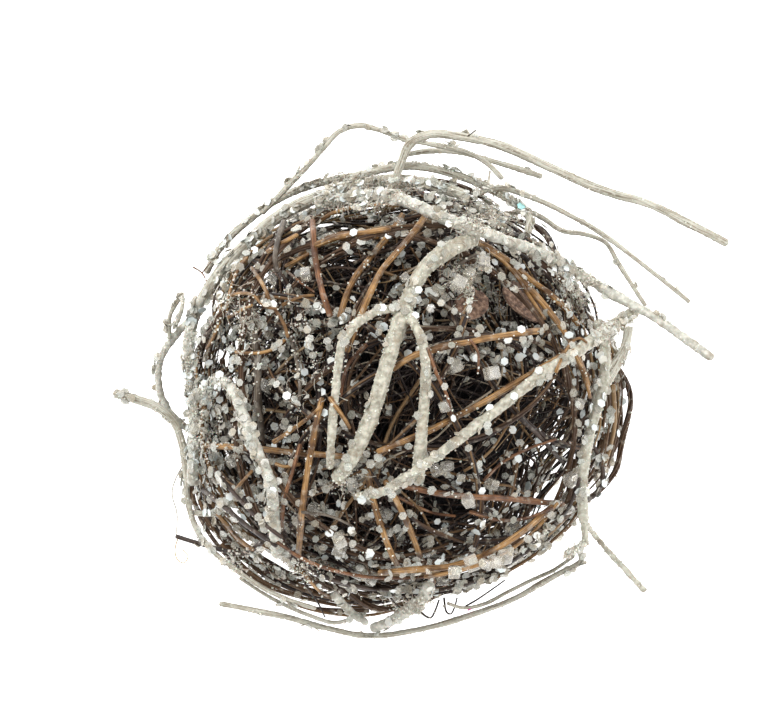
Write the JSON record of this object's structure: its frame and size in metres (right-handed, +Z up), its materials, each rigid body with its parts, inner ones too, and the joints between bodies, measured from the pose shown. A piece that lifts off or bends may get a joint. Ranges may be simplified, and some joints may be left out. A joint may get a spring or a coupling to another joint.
{
  "type": "decorative twig ball",
  "caption": "Decorative ball wound from dark rootlets and brown stems, with frosted twigs over it, clear ice-like cubes and glitter flakes.",
  "frame": {"origin": "middle of the flat spot at the ball's underside, on the surface that it lies on", "axes": "+Z up through the ball, towards the picture's viewpoint; +X the picture's right, +Y the picture's top"},
  "size_m": [0.1408, 0.119, 0.0999],
  "materials": {
    "dark_rootlet": "dark fibrous rootlets, matt",
    "brown_stem": "dry brown stems with lengthwise grain, slightly waxy",
    "frosted_twig": "grey twig under a granular white frost crust",
    "bark_scale": "reddish brown bark, velvety",
    "ice_crystal": "clear moulded cubes with broken edges"
  },
  "bodies": {
    "root": {"rootlet_tangle": "dark_rootlet", "wound_vine_1": "dark_rootlet", "wound_vine_2": "dark_rootlet", "wound_vine_3": "dark_rootlet", "wound_vine_4": "dark_rootlet", "brown_stem_low_left": "brown_stem", "brown_stem_upper_1": "brown_stem", "brown_stem_upper_2": "brown_stem", "brown_stem_upper_3": "brown_stem", "brown_stem_upper_4": "brown_stem", "brown_stem_right_1": "brown_stem", "brown_stem_right_2": "brown_stem", "brown_stem_middle_1": "brown_stem", "brown_stem_middle_2": "brown_stem", "brown_stem_lower_1": "brown_stem", "brown_stem_lower_2": "brown_stem", "brown_stem_lower_3": "brown_stem", "brown_stem_lower_4": "brown_stem", "brown_stem_left_1": "brown_stem", "brown_stem_left_2": "brown_stem", "hidden_brown_arc_1": "brown_stem", "hidden_brown_arc_2": "brown_stem", "hidden_frosted_arc_1": "frosted_twig", "hidden_frosted_arc_2": "frosted_twig", "forked_branch": "frosted_twig", "right_forked_twig": "frosted_twig", "upper_left_arc": "frosted_twig", "crown_arc": "frosted_twig", "left_upright_twig": "frosted_twig", "left_bent_twig": "frosted_twig", "shoulder_twig": "frosted_twig", "right_stub": "frosted_twig", "left_tip_twig": "frosted_twig", "left_loop_twig": "frosted_twig", "left_thin_loop": "frosted_twig", "low_left_sweep": "frosted_twig", "low_left_hook": "frosted_twig", "lower_left_spur": "frosted_twig", "bottom_arc": "frosted_twig", "bottom_thin_twig": "frosted_twig", "bottom_right_line": "frosted_twig", "bottom_stub": "frosted_twig", "bottom_peg": "frosted_twig", "right_dark_loop": "frosted_twig", "diagonal_twig": "frosted_twig", "high_loop_twig": "frosted_twig", "short_spray_twig": "frosted_twig", "long_spray_twig": "frosted_twig", "middle_spray_twig": "frosted_twig", "kinked_spray_twig": "frosted_twig", "bark_scale_large": "bark_scale", "bark_scale_small": "bark_scale", "ice_crystal_1": "ice_crystal", "ice_crystal_2": "ice_crystal", "ice_crystal_3": "ice_crystal", "ice_crystal_4": "ice_crystal", "ice_crystal_5": "ice_crystal", "ice_crystal_6": "ice_crystal"}
  },
  "joints": []
}
